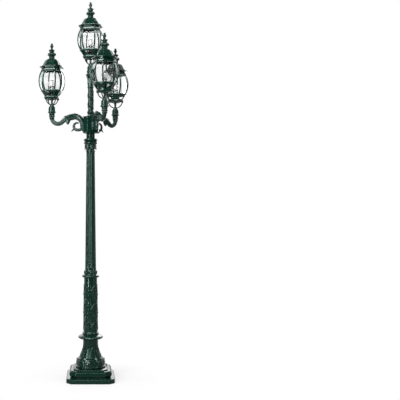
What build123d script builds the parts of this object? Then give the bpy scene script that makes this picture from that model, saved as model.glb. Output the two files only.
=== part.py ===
"""Garden lamp post: a cast base and fluted shaft carry a three-sided hub with
three scrolled arms. A lantern stands on each arm and one more on the centre
post above them. Millimetres, +Z up, origin on the post's axis at the ground."""

from build123d import *
from math import cos, pi, radians, sin
import os

os.makedirs("parts", exist_ok=True)

# ---------------------------------------------------------------- clearances
fit_gap = 0.3  # radial, between a spigot or bolt and its hole
lift_gap = 0.3  # under and around what lifts off or turns

# ---------------------------------------------------------------- base
plinth_width = 379.0
plinth_corner_cut = 38.0
plinth_height = 35.0
cove_width = 318.0
cove_height = 3.0
torus_width = 334.0
torus_corner_cut = 100.0
torus_height = 52.0
torus_round = 24.0
torus_slices = 8
step_width = 272.0
step_corner_cut = 80.0
step_height = 8.0
base_wall = 12.0
base_web = 16.0
anchor_spacing = 290.0
anchor_hole_radius = 7.0

undercut_radius = 112.0
undercut_height = 10.0
bell_radius = 122.0
bell_leaf_radius = 110.0
bell_leaf_height = 66.0
bell_waist_radius = 88.0
bell_throat_radius = 66.0
bell_top_radius = 60.0
bell_height = 222.0
bell_throat_rise = 62.0  # above the low leaves
bell_leaf_lip = 8.0
bell_neck_height = 47.0
casting_wall = 7.0

base_ring_radius = 98.0
base_ring_height = 40.0
upper_ring_radius = 67.5
upper_ring_height = 21.0

# ---------------------------------------------------------------- shaft
lower_shaft_radius = 56.0
lower_shaft_top_radius = 52.0
lower_shaft_height = 427.0
shaft_ring_radius = 68.0
shaft_ring_height = 22.0
shaft_cuff_radius = 51.0
shaft_cuff_height = 42.0
fluted_bottom_radius = 44.5
fluted_top_radius = 34.0
fluted_height = 943.0
flute_count = 12
flute_share = 0.30  # flute's radius as a share of the pitch between flutes

capital_neck_radius = 31.5
capital_ring_radius = 37.5
capital_ring_height = 13.0
capital_basket_radius = 44.0
capital_basket_height = 34.0
capital_abacus_radius = 54.0
capital_flange_radius = 56.5
neck_tube_radius = 33.5
neck_tube_height = 40.0

core_tube_radius = 20.0
core_tube_wall = 3.0
core_nut_radius = 28.0
core_nut_height = 6.0

terminal_length = 56.0
terminal_width = 28.0
terminal_height = 22.0
terminal_reach = 74.0
terminal_pitch = 14.0
terminal_screw_radius = 3.0

# ---------------------------------------------------------------- hub and arms
hub_inradius = 38.0
hub_height = 130.0
hub_corner_round = 6.0
hub_flange_height = 6.0
hub_flange_proud = 4.0
first_arm_turn = 169.5  # degrees from +X, seen from above
arm_count = 3
arm_reach = 316.0  # post axis to lantern axis
arm_tube_radius = 17.0
arm_lobe_radius = 5.0
arm_lobe_count = 8
elbow_radius = 50.0
elbow_drop = 39.0  # elbow's centre below the lantern's collar
crest_reach = 133.0
crest_drop = 36.0
crest_inner_radius = 66.0
arm_foot_drop = 149.0
arm_end_height = 54.0
arm_collar_rise = 40.0  # hub to the arm lanterns' collars
foot_width = 64.0
foot_thickness = 8.0
foot_web_height = 86.0
foot_web_drop = 10.0  # web's middle below the hub's
foot_web_width = 24.0
scroll_width = 22.0
scroll_radius = 38.5
scroll_reach = 108.0
scroll_drop = 111.0
scroll_eye_radius = 22.0
scroll_eye_reach = 104.5
scroll_eye_drop = 106.0
cuff_leaf_width = 26.0
tail_leaf_width = 8.0
bolt_radius = 4.0
bolt_head_radius = 6.5
bolt_head_height = 5.0
bolt_grip = 12.0
bolt_spread = 46.0
bolt_rise = 92.0
spigot_radius = 13.5
spigot_height = 30.0

upper_post_foot_radius = 21.0
upper_post_bulge_radius = 27.0
upper_post_radius = 21.5
upper_post_ring_radius = 26.5
upper_post_head_radius = 24.0
upper_post_height = 352.0
upper_post_ring_rise = 232.0
capital_height = 105.0

# ---------------------------------------------------------------- lantern
# heights above the bottom of the lantern's collar; radii of the octagons'
# corners: four wide faces and four narrow ones between them
wide_face_angle = 56.5
lead_radius = 5.0
collar_flange_radius = 32.5
collar_flange_height = 6.0
collar_radius = 27.5
collar_body_height = 44.0
collar_height = 63.0
cradle_neck_radius = 15.6
stem_radius = 8.5
strut_width = 8.0
strut_depth = 6.0
dish_base = 108.0
dish_floor = 4.0
dish_base_radius = 48.0
dish_rim_radius = 66.0
dish_rim_base = 121.0
dish_rim_top = 127.0
skirt_foot_radius = 60.0
skirt_top_radius = 83.0
skirt_wall = 4.5
ear_width = 12.0
ear_drop = 5.0
ear_outer_radius = 67.0
window_foot_width = 36.0
window_top_width = 56.0
window_base = 133.0
window_top = 160.0

frame_base = 166.0
frame_ring_height = 12.0
frame_ring_radius = 91.5
frame_ring_inner_radius = 76.0
frame_top_base = 328.0
frame_top_height = 17.0
frame_top_radius = 90.0
frame_bevel_height = 7.0
frame_bevel_radius = 80.0
frame_top_inner_radius = 68.0
glass_end_radius = 86.0
glass_middle_radius = 108.0
glass_thickness = 3.0
rib_width = 8.0
rib_proud = 3.0
rib_depth = 9.0

reflector_radius = 73.0
reflector_thickness = 2.0
stud_radius = 5.0
stud_nut_radius = 9.0
stud_nut_height = 6.0
stud_top = 447.0

roof_wall = 4.0
drum_radius = 80.0
drum_height = 8.0
eaves_radius = 102.0
eaves_lip = 5.0
roof_sections = [(9.0, 86.0), (17.0, 74.0), (27.0, 65.0), (40.0, 58.0), (52.0, 52.0), (63.0, 46.0)]
roof_top_radius = 21.5
roof_top_rise = 70.0
roof_hole_radius = 8.0

finial_neck_radius = 22.0
finial_neck_height = 20.0
finial_bulb_radius = 34.0
finial_bulb_height = 36.0
finial_crown_radius = 26.0
finial_stem_radius = 6.8
finial_disc_radius = 16.0
finial_acorn_radius = 9.4
finial_height = 126.0

holder_radius = 19.0
holder_flange_radius = 24.0
holder_flange_height = 4.0
holder_height = 74.0
bulb_cap_radius = 13.0
bulb_cap_length = 27.0
bulb_cap_depth = 28.0  # rim of the holder to the foot of the cap
bulb_radius = 30.0
bulb_glass_length = 78.0
bulb_neck_radius = 12.5

# ---------------------------------------------------------------- heights
cove_base = plinth_height
torus_base = cove_base + cove_height
step_base = torus_base + torus_height
bell_base = step_base + step_height
base_ring_base = bell_base + bell_height
lower_shaft_base = base_ring_base + base_ring_height + upper_ring_height
shaft_ring_base = lower_shaft_base + lower_shaft_height
fluted_base = shaft_ring_base + shaft_ring_height + shaft_cuff_height
capital_base = fluted_base + fluted_height
neck_tube_base = capital_base + capital_height
hub_base = neck_tube_base + neck_tube_height
hub_top = hub_base + hub_height
upper_post_top = hub_top + upper_post_height
arm_collar_height = hub_top + arm_collar_rise
frame_top = frame_top_base + frame_top_height + frame_bevel_height
roof_base = frame_top + lift_gap
eaves_base = roof_base + drum_height
roof_top = eaves_base + roof_top_rise
finial_base = roof_top + lift_gap
holder_base = dish_base + dish_floor
bulb_cap_base = holder_base + holder_height - bulb_cap_depth
bulb_glass_base = bulb_cap_base + bulb_cap_length
bulb_centre = bulb_glass_base + bulb_glass_length - bulb_radius

arm_turns = [first_arm_turn + 360 / arm_count * k for k in range(arm_count)]
arm_names = ["left", "front", "rear"]
half_wide = wide_face_angle / 2
corner_turns = [90 * k + side * half_wide for k in range(4) for side in (-1, 1)]
wide_turns = [90 * k for k in range(4)]
narrow_turns = [45 + 90 * k for k in range(4)]
half_narrow = 45 - half_wide


def octagon(radius):
    """Corners of the lantern's octagon with this corner radius."""
    return [(radius * cos(radians(turn)), radius * sin(radians(turn))) for turn in corner_turns]


def cut_square(width, corner_cut):
    """Corners of a square of this width with its corners cut off."""
    half = width / 2
    short = half - corner_cut
    return [
        (half, -short), (half, short), (short, half), (-short, half),
        (-half, short), (-half, -short), (-short, -half), (short, -half),
    ]


def torus_sections():
    """Height and width of the torus tier's slices, a half round at its edge."""
    slices = []
    for step in range(torus_slices + 1):
        angle = radians(-90 + 180 * step / torus_slices)
        width = torus_width - 2 * torus_round * (1 - cos(angle))
        slices.append((torus_base + torus_height / 2 * (1 + sin(angle)), width))
    return slices


def upright(turn):
    """The plane that holds the axis and points its X along this turn."""
    return Plane(origin=(0, 0, 0), x_dir=(cos(radians(turn)), sin(radians(turn)), 0),
                 z_dir=(sin(radians(turn)), -cos(radians(turn)), 0))


def save(piece, name):
    """Names a finished piece and writes its file."""
    piece.label = name
    export_step(piece, f"parts/{name}.step")


# ================================================================ base castings
with BuildPart() as plinth:
    with BuildSketch(Plane.XY):
        Polygon(*cut_square(plinth_width, plinth_corner_cut))
    extrude(amount=plinth_height)
    with BuildSketch(Plane.XY.offset(cove_base)):
        Polygon(*cut_square(cove_width, torus_corner_cut))
    extrude(amount=cove_height)
    for height, width in torus_sections():
        with BuildSketch(Plane.XY.offset(height)):
            Polygon(*cut_square(width, torus_corner_cut * width / torus_width))
    loft(ruled=True)
    with BuildSketch(Plane.XY.offset(step_base)):
        Polygon(*cut_square(step_width, step_corner_cut))
    extrude(amount=step_height)
    with BuildSketch(Plane.XY):
        Polygon(*cut_square(cove_width - 2 * base_wall, torus_corner_cut))
    extrude(amount=torus_base, mode=Mode.SUBTRACT)
    with BuildSketch(Plane.XY.offset(torus_base)):
        Polygon(*cut_square(step_width - 2 * base_wall, step_corner_cut))
    extrude(amount=bell_base - base_web - torus_base, mode=Mode.SUBTRACT)
    with BuildSketch(Plane.XY):
        Circle(core_tube_radius + fit_gap)
        with GridLocations(anchor_spacing, anchor_spacing, 2, 2):
            Circle(anchor_hole_radius)
    extrude(amount=bell_base, mode=Mode.SUBTRACT)
save(plinth.part, "base_plinth")


def turned(outer, inner):
    """A turned casting between an outer and an inner line of (radius, height)."""
    with BuildPart() as casting:
        with BuildSketch(Plane.XZ):
            with BuildLine():
                Polyline(*outer, *reversed(inner), close=True)
            make_face()
        revolve(axis=Axis.Z)
    return casting.part


bell_leaf_top = bell_base + undercut_height + bell_leaf_height
bell_top = bell_base + bell_height
base_bell = turned(
    outer=[
        (undercut_radius, bell_base),
        (undercut_radius, bell_base + undercut_height),
        (bell_radius, bell_base + undercut_height),
        (bell_radius, bell_base + undercut_height + 12),
        (bell_radius - 6, bell_base + undercut_height + 30),
        (bell_leaf_radius, bell_leaf_top - bell_leaf_lip),
        (bell_leaf_radius - 6, bell_leaf_top),
        (bell_waist_radius, bell_leaf_top + bell_leaf_lip),
        ((bell_waist_radius + bell_throat_radius) / 2 + 1, bell_leaf_top + bell_throat_rise / 2 + 4),
        (bell_throat_radius, bell_leaf_top + bell_throat_rise),
        (bell_top_radius + 2, bell_top - bell_neck_height - 19),
        (bell_top_radius, bell_top - bell_neck_height),
        (bell_top_radius, bell_top),
    ],
    inner=[
        (undercut_radius - casting_wall, bell_base),
        (undercut_radius - casting_wall, bell_leaf_top - 20),
        (bell_waist_radius - casting_wall, bell_leaf_top),
        (bell_throat_radius - casting_wall, bell_leaf_top + bell_throat_rise - casting_wall),
        (bell_top_radius - casting_wall, bell_top - bell_neck_height),
        (bell_top_radius - casting_wall, bell_top),
    ],
)
save(base_bell, "base_bell")

ring_inner = bell_top_radius - casting_wall
upper_ring_base = base_ring_base + base_ring_height
base_ring = turned(
    outer=[
        (bell_top_radius, base_ring_base),
        (base_ring_radius - 12, base_ring_base + 6),
        (base_ring_radius, base_ring_base + 14),
        (base_ring_radius, base_ring_base + 19),
        (base_ring_radius - 8, base_ring_base + 27),
        (upper_ring_radius - 3, base_ring_base + 32),
        (upper_ring_radius - 3, upper_ring_base),
        (upper_ring_radius, upper_ring_base + 5),
        (upper_ring_radius, upper_ring_base + 11),
        (lower_shaft_radius + 1, lower_shaft_base),
    ],
    inner=[(ring_inner, base_ring_base), (lower_shaft_radius - casting_wall, lower_shaft_base)],
)
save(base_ring, "base_ring")

# ================================================================ shaft castings
lower_shaft = turned(
    outer=[(lower_shaft_radius, lower_shaft_base), (lower_shaft_top_radius, shaft_ring_base)],
    inner=[
        (lower_shaft_radius - casting_wall, lower_shaft_base),
        (lower_shaft_top_radius - casting_wall, shaft_ring_base),
    ],
)
save(lower_shaft, "lower_shaft")

cuff_base = shaft_ring_base + shaft_ring_height
shaft_bore = fluted_top_radius - casting_wall
shaft_ring = turned(
    outer=[
        (lower_shaft_top_radius + 1, shaft_ring_base),
        (shaft_ring_radius - 9, shaft_ring_base + 8),
        (shaft_ring_radius, shaft_ring_base + 13),
        (shaft_ring_radius, shaft_ring_base + 17),
        (shaft_cuff_radius + 2, cuff_base),
        (shaft_cuff_radius, cuff_base + 8),
        (shaft_cuff_radius, fluted_base - 6),
        (fluted_bottom_radius + 1, fluted_base),
    ],
    inner=[
        (lower_shaft_top_radius - casting_wall, shaft_ring_base),
        (shaft_bore + casting_wall, fluted_base),
    ],
)
save(shaft_ring, "shaft_ring")


def fluted_outline(radius):
    """A round section of this radius with evenly spaced flutes round it."""
    flute = flute_share * 2 * pi * radius / flute_count
    Circle(radius)
    with PolarLocations(radius + flute / 3, flute_count):
        Circle(flute, mode=Mode.SUBTRACT)


with BuildPart() as fluted_shaft:
    with BuildSketch(Plane.XY.offset(fluted_base)):
        fluted_outline(fluted_bottom_radius)
    with BuildSketch(Plane.XY.offset(capital_base)):
        fluted_outline(fluted_top_radius)
    loft(ruled=True)
    with BuildSketch(Plane.XY.offset(fluted_base)):
        Circle(shaft_bore)
    extrude(amount=fluted_height, mode=Mode.SUBTRACT)
save(fluted_shaft.part, "fluted_shaft")

basket_base = capital_base + capital_ring_height + 11
abacus_base = basket_base + capital_basket_height
capital = turned(
    outer=[
        (capital_neck_radius, capital_base),
        (capital_ring_radius, capital_base + 4),
        (capital_ring_radius, capital_base + 9),
        (capital_neck_radius, capital_base + capital_ring_height),
        (capital_neck_radius, basket_base),
        (capital_basket_radius, basket_base),
        (capital_basket_radius, abacus_base - 6),
        (capital_abacus_radius, abacus_base + 6),
        (capital_abacus_radius, abacus_base + 10),
        (capital_abacus_radius - 8, abacus_base + 16),
        (capital_abacus_radius - 6, abacus_base + 26),
        (capital_flange_radius, abacus_base + 32),
        (capital_flange_radius, abacus_base + 35),
        (neck_tube_radius, neck_tube_base),
    ],
    inner=[(shaft_bore, capital_base), (shaft_bore, neck_tube_base)],
)
save(capital, "capital")

neck_tube = turned(
    outer=[(neck_tube_radius, neck_tube_base), (neck_tube_radius, hub_base)],
    inner=[(shaft_bore, neck_tube_base), (shaft_bore, hub_base)],
)
save(neck_tube, "neck_tube")

core_outer = core_tube_radius
core_inner = core_tube_radius - core_tube_wall
web_base = bell_base - base_web
core_tube = turned(
    outer=[
        (core_nut_radius, web_base - core_nut_height),
        (core_nut_radius, web_base),
        (core_outer, web_base),
        (core_outer, hub_top - hub_flange_height),
    ],
    inner=[(core_inner, web_base - core_nut_height), (core_inner, hub_top - hub_flange_height)],
)
save(core_tube, "core_tube")

with BuildPart() as terminal_block:
    with BuildSketch(Plane.XY.offset(web_base - terminal_height)):
        with Locations((terminal_reach, 0)):
            Rectangle(terminal_width, terminal_length)
    extrude(amount=terminal_height)
    with BuildSketch(Plane.XY.offset(web_base - terminal_height)):
        with Locations((terminal_reach, 0)):
            with GridLocations(terminal_width / 2, terminal_pitch, 2, 3):
                Circle(terminal_screw_radius)
    extrude(amount=terminal_height / 3, mode=Mode.SUBTRACT)
save(terminal_block.part, "terminal_block")

# ================================================================ hub
bolt_places = [(side * bolt_spread / 2, rise * bolt_rise / 2) for side in (-1, 1) for rise in (-1, 1)]
hub_middle = hub_base + hub_height / 2
hub_corner_radius = 2 * hub_inradius


def hub_face(turn):
    """The plane of the hub's face that looks along this turn."""
    out = (cos(radians(turn)), sin(radians(turn)), 0)
    origin = (out[0] * hub_inradius, out[1] * hub_inradius, hub_middle)
    return Plane(origin=origin, x_dir=(-out[1], out[0], 0), z_dir=out)


with BuildPart() as hub:
    with BuildSketch(Plane.XY.offset(hub_base)):
        RegularPolygon(hub_corner_radius, arm_count, rotation=first_arm_turn + 60)
    extrude(amount=hub_height)
    fillet(hub.edges().filter_by(Axis.Z), radius=hub_corner_round)
    with BuildSketch(Plane.XY.offset(hub_base), Plane.XY.offset(hub_top - hub_flange_height)):
        RegularPolygon(hub_corner_radius + 2 * hub_flange_proud, arm_count, rotation=first_arm_turn + 60)
    extrude(amount=hub_flange_height)
    with BuildSketch(Plane.XY.offset(hub_base)):
        Circle(core_outer + fit_gap)
    extrude(amount=hub_height, mode=Mode.SUBTRACT)
    for turn in arm_turns:
        with BuildSketch(hub_face(turn)):
            with Locations(*bolt_places):
                Circle(bolt_radius + fit_gap)
        extrude(amount=-bolt_grip, mode=Mode.SUBTRACT)
save(hub.part, "hub")

# ================================================================ arms
# drawn in the XZ plane, with X along the arm, and turned to their places
collar_level = arm_collar_height
elbow_level = collar_level - elbow_drop
crest_level = collar_level - crest_drop
elbow_reach = arm_reach - elbow_radius
crest_to_elbow = elbow_reach - crest_reach
crest_rise = crest_level - elbow_level
crest_outer_radius = (
    (crest_to_elbow**2 + crest_rise**2 - elbow_radius**2) / (2 * (elbow_radius + crest_rise))
)
crest_centre_level = crest_level - crest_outer_radius
swing = Vector(-crest_to_elbow, crest_centre_level - elbow_level).get_signed_angle(Vector(-1, 0))
elbow_arc = -(180 - abs(swing))
inner_centre_level = crest_level - crest_inner_radius
run_reach = crest_reach - crest_inner_radius

with BuildLine(Plane.XZ) as arm_path:
    CenterArc((elbow_reach, elbow_level), elbow_radius, 0, elbow_arc)
    CenterArc((crest_reach, crest_centre_level), crest_outer_radius, 180 + elbow_arc, -90 - elbow_arc)
    CenterArc((crest_reach, inner_centre_level), crest_inner_radius, 90, 90)
    Line((run_reach, inner_centre_level), (run_reach, collar_level - arm_foot_drop))

arm_end_rings = [
    (arm_tube_radius, -arm_end_height), (21.5, -51), (22, -46), (18.5, -42), (23.5, -37),
    (23.5, -31), (19.5, -26), (24.5, -21), (24.5, -14), (20.5, -10), (23, -5), (23, 0),
]
scroll_centre = (scroll_reach, collar_level - scroll_drop)
eye_centre = (scroll_eye_reach, collar_level - scroll_eye_drop)
leaf_outline = [(214, -26), (192, -33), (168, -22), (158, -50), (166, -80), (180, -98), (190, -100),
                (197, -88), (203, -66), (202, -42)]
tail_outline = [(124, -140), (142, -128), (160, -152), (145, -144)]

with BuildPart() as arm:
    with BuildSketch(Plane(origin=(arm_reach, 0, elbow_level), z_dir=(0, 0, -1))):
        Circle(arm_tube_radius - 2)
        with PolarLocations(arm_tube_radius - arm_lobe_radius, arm_lobe_count):
            Circle(arm_lobe_radius)
    sweep(path=arm_path.line)
    with BuildSketch(Plane.XZ):
        with BuildLine():
            Polyline(
                (arm_reach, collar_level - arm_end_height),
                *[(arm_reach + radius, collar_level + level) for radius, level in arm_end_rings],
                (arm_reach + spigot_radius, collar_level),
                (arm_reach + spigot_radius, collar_level + spigot_height),
                (arm_reach, collar_level + spigot_height),
                close=True,
            )
        make_face()
    revolve(axis=Axis((arm_reach, 0, 0), (0, 0, 1)))
    with BuildSketch(Plane.YZ.offset(hub_inradius)):
        with Locations((0, hub_middle)):
            Rectangle(foot_width, hub_height - 2 * hub_flange_height - 2 * fit_gap)
            with Locations(*bolt_places):
                Circle(bolt_radius + fit_gap, mode=Mode.SUBTRACT)
    extrude(amount=foot_thickness)
    with BuildSketch(Plane.XZ):
        with Locations(((hub_inradius + foot_thickness + run_reach) / 2, hub_middle - foot_web_drop)):
            Rectangle(run_reach - hub_inradius - foot_thickness + 2, foot_web_height)
    extrude(amount=foot_web_width / 2, both=True)
    with BuildSketch(Plane.XZ):
        with Locations(scroll_centre):
            Circle(scroll_radius)
        with Locations(eye_centre):
            Circle(scroll_eye_radius, mode=Mode.SUBTRACT)
        Polygon(
            eye_centre,
            (eye_centre[0] - 6, scroll_centre[1] + scroll_radius + 4),
            (eye_centre[0] + 30, scroll_centre[1] + scroll_radius + 4),
            (eye_centre[0] + 40, eye_centre[1]),
            mode=Mode.SUBTRACT,
        )
    extrude(amount=scroll_width / 2, both=True)
    with BuildSketch(Plane.XZ):
        Polygon(*[(reach, collar_level + level) for reach, level in leaf_outline])
    extrude(amount=cuff_leaf_width / 2, both=True)
    with BuildSketch(Plane.XZ):
        Polygon(*[(reach, collar_level + level) for reach, level in tail_outline])
    extrude(amount=tail_leaf_width / 2, both=True)
for turn, name in zip(arm_turns, arm_names):
    save(arm.part.rotate(Axis.Z, turn), f"{name}_arm")

with BuildPart() as arm_bolts:
    for turn in arm_turns:
        seat = hub_face(turn).offset(foot_thickness)
        with BuildSketch(seat):
            with Locations(*bolt_places):
                RegularPolygon(bolt_head_radius, 6)
        extrude(amount=bolt_head_height)
        with BuildSketch(seat):
            with Locations(*bolt_places):
                Circle(bolt_radius)
        extrude(amount=-(foot_thickness + bolt_grip - 1))
save(arm_bolts.part, "arm_bolts")

ring_level = hub_top + upper_post_ring_rise
upper_post = turned(
    outer=[
        (upper_post_foot_radius, hub_top),
        (upper_post_foot_radius - 1, hub_top + 22),
        (upper_post_bulge_radius, hub_top + 30),
        (upper_post_bulge_radius, hub_top + 42),
        (upper_post_radius + 1.5, hub_top + 74),
        (upper_post_radius, hub_top + 110),
        (upper_post_radius, ring_level - 4),
        (upper_post_ring_radius, ring_level),
        (upper_post_ring_radius, ring_level + 7),
        (upper_post_head_radius, ring_level + 11),
        (upper_post_head_radius, upper_post_top - 50),
        (upper_post_head_radius + 4, upper_post_top - 43),
        (upper_post_head_radius + 4, upper_post_top - 30),
        (upper_post_head_radius + 13, upper_post_top - 24),
        (upper_post_head_radius + 13, upper_post_top - 15),
        (upper_post_head_radius + 4, upper_post_top - 5),
        (upper_post_head_radius + 4, upper_post_top),
        (spigot_radius, upper_post_top),
        (spigot_radius, upper_post_top + spigot_height),
    ],
    inner=[(core_inner, hub_top), (core_inner, hub_top + 60), (lead_radius, hub_top + 80),
           (lead_radius, upper_post_top + spigot_height)],
)
save(upper_post, "upper_post")

# ================================================================ lantern pieces
# made once about the lantern's own axis, its collar's foot at zero
def stack(sections):
    """An eight-sided solid through sections of (height, corner radius)."""
    with BuildPart() as tiers:
        for height, radius in sections:
            with BuildSketch(Plane.XY.offset(height)):
                Polygon(*octagon(radius))
        loft(ruled=True)
    return tiers.part


collar = turned(
    outer=[
        (collar_flange_radius, 0),
        (collar_flange_radius, collar_flange_height),
        (collar_radius, collar_flange_height + 4),
        (collar_radius, collar_body_height),
        (collar_radius - 6, collar_body_height + 10),
        (cradle_neck_radius, collar_height - 5),
        (cradle_neck_radius, collar_height),
    ],
    inner=[
        (spigot_radius + fit_gap, 0),
        (spigot_radius + fit_gap, spigot_height + fit_gap),
        (lead_radius, spigot_height + fit_gap),
        (lead_radius, collar_height),
    ],
)

ear_base = dish_base - ear_drop
ear_inner_radius = ear_outer_radius - 15
strut_outer_foot = cradle_neck_radius + 2.5
with BuildPart() as cradle:
    with BuildSketch(Plane.XZ):
        with BuildLine():
            Polyline(
                (lead_radius, collar_height),
                (cradle_neck_radius, collar_height),
                (cradle_neck_radius, collar_height + 5),
                (stem_radius, collar_height + 12),
                (stem_radius, dish_base - 10),
                (stem_radius + 6, dish_base - 4),
                (stem_radius + 6, dish_base),
                (lead_radius, dish_base),
                close=True,
            )
        make_face()
    revolve(axis=Axis.Z)
    for turn in narrow_turns:
        with BuildSketch(upright(turn)):
            with BuildLine():
                Line((ear_inner_radius, ear_base), (ear_inner_radius + strut_depth, ear_base))
                ThreePointArc(
                    (ear_inner_radius + strut_depth, ear_base),
                    (ear_inner_radius - 6, ear_base - 22),
                    (stem_radius + 8, collar_height + 1),
                )
                Line((stem_radius + 8, collar_height + 1), (stem_radius - 2, collar_height + 6))
                ThreePointArc(
                    (stem_radius - 2, collar_height + 6),
                    (ear_inner_radius - 12, ear_base - 18),
                    (ear_inner_radius, ear_base),
                )
            make_face()
        extrude(amount=strut_width / 2, both=True)

dish = stack([
    (dish_base, dish_base_radius), (dish_rim_base, dish_rim_radius),
    (dish_rim_top, dish_rim_radius), (dish_rim_top + 1, skirt_foot_radius),
])
skirt = stack([(dish_rim_top, skirt_foot_radius - 1), (frame_base, skirt_top_radius)])
skirt_hollow = stack([
    (holder_base, dish_base_radius - 6), (dish_rim_top, skirt_foot_radius - skirt_wall - 1),
    (frame_base, skirt_top_radius - skirt_wall),
])
ear_reach = (ear_inner_radius + ear_outer_radius) / 2
with BuildPart() as gallery:
    add(dish)
    add(skirt)
    for turn in narrow_turns:
        with BuildSketch(Plane.XY.offset(ear_base).rotated((0, 0, turn))):
            with Locations((ear_reach - 1, 0)):
                Rectangle(ear_outer_radius - ear_inner_radius - 2, ear_width)
        extrude(amount=dish_rim_base + 2 - ear_base)
    add(skirt_hollow, mode=Mode.SUBTRACT)
    for turn in wide_turns:
        face = upright(turn + 90)
        with BuildSketch(face.offset(-skirt_top_radius)):
            Polygon(
                (-window_foot_width / 2, window_base),
                (window_foot_width / 2, window_base),
                (window_top_width / 2, window_top),
                (-window_top_width / 2, window_top),
            )
        extrude(amount=skirt_top_radius / 2, mode=Mode.SUBTRACT)
    with BuildSketch(Plane.XY.offset(dish_base)):
        Circle(lead_radius)
    extrude(amount=dish_floor, mode=Mode.SUBTRACT)

# the glass bulges on one arc from ring to ring, and the ribs follow it
glass_base = frame_base + frame_ring_height
glass_middle = (glass_base + frame_top_base) / 2


def bulge_strip(turn, scale, outer, inner, reach_below=0.0):
    """A bent strip from ring to ring, in the upright plane at this turn. The arc
    of the glass's outer corner is scaled, and the strip lies from `outer` outside
    it to `inner` inside it."""
    low, high = glass_base - reach_below, frame_top_base + reach_below
    end, middle = glass_end_radius * scale, glass_middle_radius * scale
    with BuildSketch(upright(turn)) as strip:
        with BuildLine():
            ThreePointArc((end + outer, low), (middle + outer, glass_middle), (end + outer, high))
            Line((end + outer, high), (end - inner, high))
            ThreePointArc((end - inner, high), (middle - inner, glass_middle), (end - inner, low))
            Line((end - inner, low), (end + outer, low))
        make_face()
    return strip.sketch


def pane(turn, half_angle):
    """One pane of glass, between the ribs at its two edges."""
    apex = (rib_width / 2 + fit_gap) / sin(radians(half_angle))
    far = 2 * glass_middle_radius
    reach, side = apex + far * cos(radians(half_angle)), far * sin(radians(half_angle))
    with BuildPart() as glass:
        extrude(bulge_strip(turn, cos(radians(half_angle)), 0.0, glass_thickness),
                amount=glass_middle_radius, both=True)
        with BuildSketch(Plane.XY.offset(glass_base).rotated((0, 0, turn))):
            Polygon((apex, 0), (reach, side), (reach, -side))
        extrude(amount=frame_top_base - glass_base, mode=Mode.INTERSECT)
    return glass.part


frame_ring = stack([(frame_base, frame_ring_radius), (glass_base, frame_ring_radius)])
frame_ring_hole = stack([(frame_base, frame_ring_inner_radius), (glass_base, frame_ring_inner_radius)])
frame_head = stack([
    (frame_top_base, frame_top_radius), (frame_top - frame_bevel_height, frame_top_radius),
    (frame_top, frame_bevel_radius),
])
frame_head_hole = stack([
    (frame_top_base, frame_top_inner_radius), (frame_top, frame_top_inner_radius),
])
with BuildPart() as frame:
    add(frame_ring)
    add(frame_head)
    for turn in corner_turns:
        extrude(bulge_strip(turn, 1.0, rib_proud, rib_depth - rib_proud, reach_below=3.0),
                amount=rib_width / 2, both=True)
    add(frame_ring_hole, mode=Mode.SUBTRACT)
    add(frame_head_hole, mode=Mode.SUBTRACT)

with BuildPart() as panes:
    for turn in wide_turns:
        add(pane(turn, half_wide))
    for turn in narrow_turns:
        add(pane(turn, half_narrow))

reflector_plate = stack([
    (frame_top, reflector_radius), (frame_top + reflector_thickness, reflector_radius),
])
with BuildPart() as reflector:
    add(reflector_plate)
    for level in (frame_top - stud_nut_height, frame_top + reflector_thickness):
        with BuildSketch(Plane.XY.offset(level)):
            RegularPolygon(stud_nut_radius, 6)
        extrude(amount=stud_nut_height)
    with BuildSketch(Plane.XY.offset(frame_top - stud_nut_height)):
        Circle(stud_radius)
    extrude(amount=stud_top - frame_top + stud_nut_height)

drum_inner_radius = drum_radius - roof_wall
roof_shell = stack(
    [(eaves_base, eaves_radius), (eaves_base + eaves_lip, eaves_radius)]
    + [(eaves_base + rise, radius) for rise, radius in roof_sections]
    + [(roof_top, roof_top_radius)]
)
roof_drum = stack([(roof_base, drum_radius), (eaves_base, drum_radius)])
roof_hollow = stack(
    [(roof_base, drum_inner_radius), (eaves_base + roof_sections[0][0], drum_inner_radius)]
    + [(eaves_base + rise - roof_wall, radius - roof_wall) for rise, radius in roof_sections[2:]]
    + [(roof_top - roof_wall - 3, roof_top_radius - roof_wall)]
)
with BuildPart() as roof:
    add(roof_shell)
    add(roof_drum)
    add(roof_hollow, mode=Mode.SUBTRACT)
    with BuildSketch(Plane.XY.offset(roof_top)):
        Circle(roof_hole_radius)
    extrude(amount=-3 * roof_wall, mode=Mode.SUBTRACT)

neck_top = finial_base + finial_neck_height
bulb_top = neck_top + finial_bulb_height
with BuildPart() as finial:
    with BuildSketch(Plane.XZ):
        with BuildLine():
            Polyline(
                (0, finial_base),
                (finial_neck_radius - 3, finial_base),
                (finial_neck_radius, finial_base + 5),
                (finial_neck_radius, neck_top),
            )
            ThreePointArc(
                (finial_neck_radius, neck_top),
                (finial_bulb_radius, neck_top + 14),
                (finial_neck_radius - 2, bulb_top),
            )
            Polyline(
                (finial_neck_radius - 2, bulb_top),
                (finial_crown_radius, bulb_top + 11),
                (finial_crown_radius - 4, bulb_top + 17),
                (finial_stem_radius + 2, bulb_top + 22),
                (finial_stem_radius, bulb_top + 29),
                (finial_stem_radius + 1, bulb_top + 38),
                (finial_disc_radius, bulb_top + 46),
                (finial_disc_radius - 2, bulb_top + 48),
                (finial_acorn_radius, bulb_top + 49),
            )
            Polyline(
                (finial_acorn_radius, bulb_top + 49),
                (finial_acorn_radius, bulb_top + 55),
                (finial_acorn_radius - 1.5, bulb_top + 62),
                (finial_acorn_radius - 4.5, finial_base + finial_height - 3),
                (0, finial_base + finial_height),
            )
            Line((0, finial_base + finial_height), (0, finial_base))
        make_face()
    revolve(axis=Axis.Z)
    with BuildSketch(Plane.XY.offset(finial_base)):
        Circle(stud_radius + lift_gap)
    extrude(amount=stud_top + lift_gap - finial_base, mode=Mode.SUBTRACT)

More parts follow.
